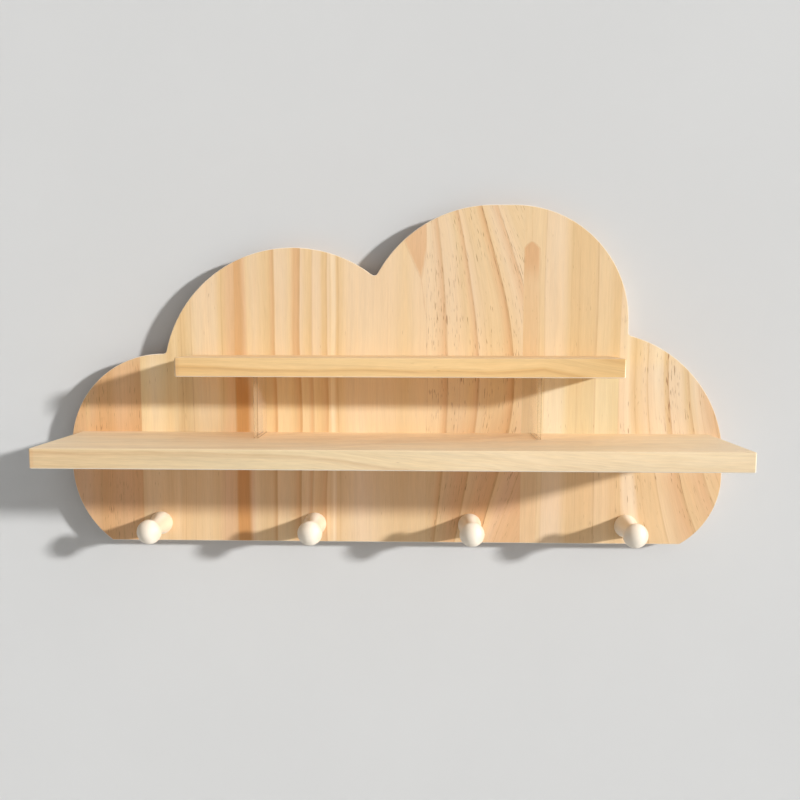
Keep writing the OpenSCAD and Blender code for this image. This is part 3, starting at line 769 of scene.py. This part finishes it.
PLATE_STEEL = steel_finish("zinc_plate", "Z", (205, 207, 212), 0.42)
SCREW_STEEL = steel_finish("zinc_screw", "X", (196, 196, 200), 0.28)
CLEAR = clear_finish()


# Pieces
OUTLINE = cloud_outline()
for joint in JOINTS:
    OUTLINE = crossed(OUTLINE, joint)


def stave(name, low, high):
    """A strip of the cloud between two joints: its outline carried back through the board, with
    rounded edges outside and nearly square ones at the joints."""
    path = OUTLINE[(OUTLINE[:, 0] >= low - TOUCH) & (OUTLINE[:, 0] <= high + TOUCH)]
    after = np.roll(path, -1, 0)
    glued = (np.abs(path[:, 0] - after[:, 0]) < TOUCH) & np.isin(path[:, 0], JOINTS)
    share = np.where(glued, GLUED_EDGE, 1.0)
    shell = Shell()
    rings = [shell.ring(on_wall(inset(path, share, i), d))
             for i, d in eased(PANEL_T, BOARD_FRONT_EDGE, BOARD_BACK_EDGE)]
    shell.wall(rings)
    sockets = [shell.bore(on_wall, (x, PEG_Z),
                          [(TENON_R + FIT, 0.0), (TENON_R + FIT, TENON_LEN + SOCKET_GAP)])
               for x in PEGS.values() if low < x < high]
    shell.cap(rings[0], sockets)
    holes = [shell.bore(from_back, (x, z), [
        (SCREW_HEAD_R, 0.0), (SCREW_HEAD_R, SCREW_SINK), (SCREW_HEAD_R - SCREW_TAPER, BORE_END)])
        for x, z in SHELF_SCREWS if low < x < high]
    for x in HANGERS.values():
        if low < x < high:
            seat = rounded_rectangle((x, PLATE_MID), PLATE_W / 2 + FIT, PLATE_H / 2 + FIT,
                                     PLATE_CORNER)
            mouth, floor = (shell.ring(from_back(seat, d)) for d in (0.0, PLATE_T))
            pocket = keyhole(x, POCKET_R, POCKET_R)
            upper, lower = (shell.ring(from_back(pocket, d)) for d in (PLATE_T, POCKET_DEPTH))
            shell.wall([mouth, floor])
            shell.cap(floor, [upper])
            shell.wall([upper, lower])
            shell.cap(lower)
            holes.append(mouth)
    shell.cap(rings[-1], holes)
    return shell.piece(name, STAVES[name], [name])


def shelf(name, ends, depth, top, wood):
    """A board in plan, its corners and edges rounded in front and at the ends, square behind."""
    front, back = -PANEL_T - depth, -PANEL_T
    path = np.concatenate([
        arc((ends[0] + SHELF_CORNER, front + SHELF_CORNER), SHELF_CORNER, 180, 270, 10),
        arc((ends[1] - SHELF_CORNER, front + SHELF_CORNER), SHELF_CORNER, 270, 360, 10),
        [[ends[1], back], [ends[0], back]]])
    share = np.ones(len(path))
    share[-2] = GLUED_EDGE
    shell = Shell()
    rings = []
    for i, d in eased(SHELF_T, SHELF_EDGE, SHELF_EDGE):
        row = inset(path, share, i)
        rings.append(shell.ring(np.stack([row[:, 0], row[:, 1], np.full(len(row), top - d)], 1)))
    shell.wall(rings)
    shell.cap(rings[0])
    shell.cap(rings[-1])
    return shell.piece(name, wood, [name])


def support(name, x):
    """A clear plate with small polished chamfers along both faces."""
    chamfer = SUPPORT_CHAMFER
    back, front = -PANEL_T, -PANEL_T - SUPPORT_DEPTH
    path = np.array([[front, SUPPORT_LOW], [back, SUPPORT_LOW], [back, SUPPORT_HIGH],
                     [front, SUPPORT_HIGH]])
    rows = [(chamfer, 0.0), (0.0, chamfer), (0.0, SUPPORT_T - chamfer), (chamfer, SUPPORT_T)]
    shell = Shell()
    rings = []
    for i, d in rows:
        row = inset(path, np.ones(4), i)
        across = np.full(len(row), x - SUPPORT_T / 2 + d)
        rings.append(shell.ring(np.stack([across, row[:, 0], row[:, 1]], 1)))
    shell.wall(rings)
    shell.cap(rings[0])
    shell.cap(rings[-1])
    shell.smooth = [False] * len(shell.faces)
    return shell.piece(name, CLEAR, [name])


def peg_profile():
    """Rows of radius and distance from the board, from the tenon's end to the tip: tenon, foot,
    long cove to the neck, short cove to the head, rounded rim and shallow dome."""
    cove_in, cove_rise = PEG_FOOT_R - PEG_NECK_R, PEG_NECK_AT - PEG_FOOT_T
    cove_r = (cove_in ** 2 + cove_rise ** 2) / (2 * cove_in)
    cove = arc((PEG_NECK_R + cove_r, PEG_NECK_AT), cove_r,
               180 + math.degrees(math.asin(cove_rise / cove_r)), 180, 0.8)
    rim = (PEG_HEAD_R - PEG_RIM_R, PEG_LEN - PEG_DOME)
    step, rise = rim[0] - PEG_NECK_R, rim[1] - PEG_NECK_AT
    throat_r = (step ** 2 + rise ** 2 - PEG_RIM_R ** 2) / (2 * (PEG_RIM_R + step))
    throat = (PEG_NECK_R + throat_r, PEG_NECK_AT)
    dome_r = (rim[0] ** 2 + PEG_DOME ** 2 - PEG_RIM_R ** 2) / (2 * (PEG_DOME - PEG_RIM_R))
    dome = (0.0, PEG_LEN - dome_r)
    return np.concatenate([
        [[TENON_R - TENON_CHAMFER, -TENON_LEN], [TENON_R, TENON_CHAMFER - TENON_LEN],
         [TENON_R, 0.0]],
        arc((PEG_FOOT_R - PEG_FOOT_EDGE, PEG_FOOT_EDGE), PEG_FOOT_EDGE, -90, 0, 18),
        [[PEG_FOOT_R, PEG_FOOT_T - PEG_FOOT_LIP]],
        cove,
        arc(throat, throat_r, 180, bearing(throat, rim), 8)[1:],
        arc(rim, PEG_RIM_R, bearing(throat, rim) - 180, bearing(dome, rim), 8)[1:],
        arc(dome, dome_r, bearing(dome, rim), 89, 4)[1:],
    ])


def peg(name, x):
    """The peg's profile turned about its own axis."""
    shell = Shell()
    rings = [shell.ring(on_wall(circle((x, PEG_Z), r, count=64), -d)) for r, d in peg_profile()]
    shell.wall(rings)
    shell.tip(rings[-1], (x, -PANEL_T - PEG_LEN, PEG_Z))
    shell.cap(rings[0])
    return shell.piece(name, BIRCH, [name], sharp=32)


def hanger(name, x):
    """A steel plate with a keyhole and two countersunk holes, flush with the board's back."""
    rows = [(PLATE_EDGE, 0.0), (0.0, PLATE_EDGE), (0.0, PLATE_T - PLATE_EDGE),
            (PLATE_EDGE, PLATE_T)]
    path = rounded_rectangle((x, PLATE_MID), PLATE_W / 2, PLATE_H / 2, PLATE_CORNER)
    shell = Shell()
    whole = [shell.ring(from_back(inset(path, np.ones(len(path)), i), d)) for i, d in rows]
    hole = keyhole(x, ENTRY_R, SLOT_R)
    inner = [shell.ring(from_back(inset(hole, np.ones(len(hole)), -i), d)) for i, d in rows]
    shell.wall(whole)
    shell.wall(inner)
    fixings = []
    for side in (-1, 1):
        centre = (x, PLATE_MID + side * PLATE_PITCH / 2)
        fixings.append([shell.ring(from_back(circle(centre, r, count=32), d))
                        for r, d in ((PLATE_HEAD_R + FIT, 0.0), (PLATE_BORE_R, PLATE_SINK),
                                     (PLATE_BORE_R, PLATE_T))])
        shell.wall(fixings[-1])
    shell.cap(whole[0], [inner[0], *[r[0] for r in fixings]])
    shell.cap(whole[-1], [inner[-1], *[r[-1] for r in fixings]])
    return shell.piece(name, PLATE_STEEL, [name])


edges = (LEFT_END - 1, *JOINTS, RIGHT_END + 1)
for number, (low, high) in enumerate(zip(edges, edges[1:]), 1):
    stave(f"stave_{number}", low, high)
shelf("lower_shelf", LOWER_ENDS, LOWER_DEPTH, LOWER_TOP, LOWER_WOOD)
shelf("upper_shelf", UPPER_ENDS, UPPER_DEPTH, UPPER_TOP, UPPER_WOOD)
for name, x in SUPPORTS.items():
    support(name, x)
for name, x in PEGS.items():
    peg(name, x)
for name, x in HANGERS.items():
    hanger(name, x)

for name, finish in {"lower_shelf_dowels": BEECH, "upper_shelf_dowels": BEECH,
                     "lower_shelf_screws": SCREW_STEEL, "upper_shelf_screws": SCREW_STEEL,
                     "hanger_screws": SCREW_STEEL}.items():
    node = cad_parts[name]
    for slot in node.material_slots:
        slot.material = finish


# Wall, floor, lights and camera
WALL_TONE = srgb(217, 216, 214)


def stage_piece(name, points, faces, finish):
    """A flat part of the room."""
    mesh = bpy.data.meshes.new(name)
    mesh.from_pydata((np.asarray(points) * MM).tolist(), [], faces)
    mesh.materials.append(finish)
    obj = bpy.data.objects.new(name, mesh)
    bpy.context.scene.collection.objects.link(obj)


def plaster(name):
    """Smooth pale paint that lets light and sight through from behind."""
    f = Finish(name)
    mottle = f.streaks(f.x, f.z, f.y, 240.0, 240.0, 5.0, 2.0)
    colour = f.blend(0.5 + 0.25 * mottle, srgb(214, 214, 213), srgb(219, 219, 218))
    paint = f.node("ShaderNodeBsdfPrincipled", {}, {
        "Base Color": colour, "Roughness": 0.9, "Specular IOR Level": 0.1})
    clear = f.node("ShaderNodeBsdfTransparent")
    side = f.node("ShaderNodeNewGeometry").outputs["Backfacing"]
    f.surface(f.node("ShaderNodeMixShader", {}, {
        0: side, 1: paint.outputs[0], 2: clear.outputs[0]}))
    return f.material


# The wall has an opening where the board's flat back lies in it
room, floor_z = 9000.0, -1150.0
opening = inset(OUTLINE, np.ones(len(OUTLINE)), BOARD_BACK_EDGE)
corners = np.array([[-room, floor_z], [room, floor_z], [room, room], [-room, room]])
wall_points = on_wall(np.concatenate([corners, opening]), 0.0, 0.0)
wall_faces = [list(face) for face in tessellate_polygon([
    [Vector(p) for p in wall_points[:4]], [Vector(p) for p in wall_points[4:]]])]
first = wall_points[wall_faces[0]]
if np.cross(first[1] - first[0], first[2] - first[0])[1] > 0:
    wall_faces = [face[::-1] for face in wall_faces]
stage_piece("wall", wall_points, wall_faces, plaster("wall_paint"))
stage_piece("floor", [[-room, -room, floor_z], [room, -room, floor_z], [room, room, floor_z],
                      [-room, room, floor_z]], [[0, 1, 2, 3]], plaster("floor_paint"))


def lamp(name, kind, place, target, energy, **settings):
    """A light that stands at a place and points at a target, in metres."""
    data = bpy.data.lights.new(name, kind)
    data.energy = energy
    for key, value in settings.items():
        setattr(data, key, value)
    obj = bpy.data.objects.new(name, data)
    bpy.context.scene.collection.objects.link(obj)
    obj.location = place
    obj.rotation_mode = "QUATERNION"
    obj.rotation_quaternion = (Vector(target) - Vector(place)).to_track_quat("-Z", "Y")
    return obj


# The sun's own width sets how soft the shadows are. The lamp behind stays out of reflections.
SUN_FROM = Vector((0.8604, -0.4458, 0.2474))
MIDDLE = (0, 0, -0.05)
lamp("low_sun", "SUN", SUN_FROM * 3, (0, 0, 0), 3.85, angle=math.radians(3.7))
lamp("soft_sky", "AREA", (1.0, -2.0, 1.6), MIDDLE, 8.0, shape="SQUARE", size=2.2)
lamp("window_fill", "AREA", (3.6, -1.8, -0.08), (0, 0, -0.1), 9.0, shape="RECTANGLE", size=1.8,
     size_y=0.7)
lamp("left_fill", "AREA", (-1.8, -2.0, 0.9), MIDDLE, 3.0, shape="SQUARE", size=2.0)
back = lamp("back_fill", "AREA", (0.3, 1.9, 0.7), MIDDLE, 40.0, shape="SQUARE", size=3.0)
back.visible_glossy = False

# Light from all round, stronger from the right. The eye, gloss and clear things see a pale room.
world = bpy.data.worlds.new("room_light")
bpy.context.scene.world = world
sky = Nodes(world, "ShaderNodeOutputWorld")
toward = sky.node("ShaderNodeTexCoord").outputs["Generated"]
apart = sky.node("ShaderNodeSeparateXYZ", {}, {0: toward})
window = sky.node("ShaderNodeMapRange", {}, {
    "Value": apart.outputs["X"], "From Min": -0.5, "To Min": 0.02, "To Max": 0.48})
ambient = sky.node("ShaderNodeBackground", {}, {
    "Color": (1.0, 1.0, 1.0, 1.0), "Strength": window.outputs[0]})
pale = sky.node("ShaderNodeBackground", {}, {"Color": WALL_TONE, "Strength": 1.0})
rays = sky.node("ShaderNodeLightPath").outputs
seen, gloss, through = (
    Term(sky, rays[f"Is {kind} Ray"]) for kind in ("Camera", "Glossy", "Transmission"))
sky.surface(sky.node("ShaderNodeMixShader", {}, {
    0: seen.most(gloss).most(through), 1: ambient.outputs[0], 2: pale.outputs[0]}))


def rotation(axis, degrees):
    """Rotation about one of the camera's axes, right, down and ahead: cosines on the diagonal
    and the sine, with either sign, beside it."""
    angle = math.radians(degrees)
    i, j = ((1, 2), (2, 0), (0, 1))[axis]
    matrix = np.eye(3)
    matrix[i, i] = matrix[j, j] = math.cos(angle)
    matrix[j, i] = math.sin(angle)
    matrix[i, j] = -math.sin(angle)
    return matrix


# The camera's angles in degrees and its place in metres
PITCH, YAW, ROLL = 5.32, 1.32, 0.12
EYE = (0.025, -0.8095, 0.0)
turned = rotation(2, ROLL) @ rotation(0, PITCH) @ rotation(1, YAW)
right, down, ahead = (np.array([row[0], row[2], -row[1]]) for row in turned)
camera = bpy.data.objects.new("camera", bpy.data.cameras.new("camera"))
bpy.context.scene.collection.objects.link(camera)
camera.data.lens, camera.data.sensor_width = 36.0, 36.0
camera.data.clip_start = 0.01
place = Matrix(np.stack([right, -down, -ahead], 1).tolist()).to_4x4()
place.translation = EYE
camera.matrix_world = place
bpy.context.scene.camera = camera
bpy.context.scene.view_settings.view_transform = "Standard"
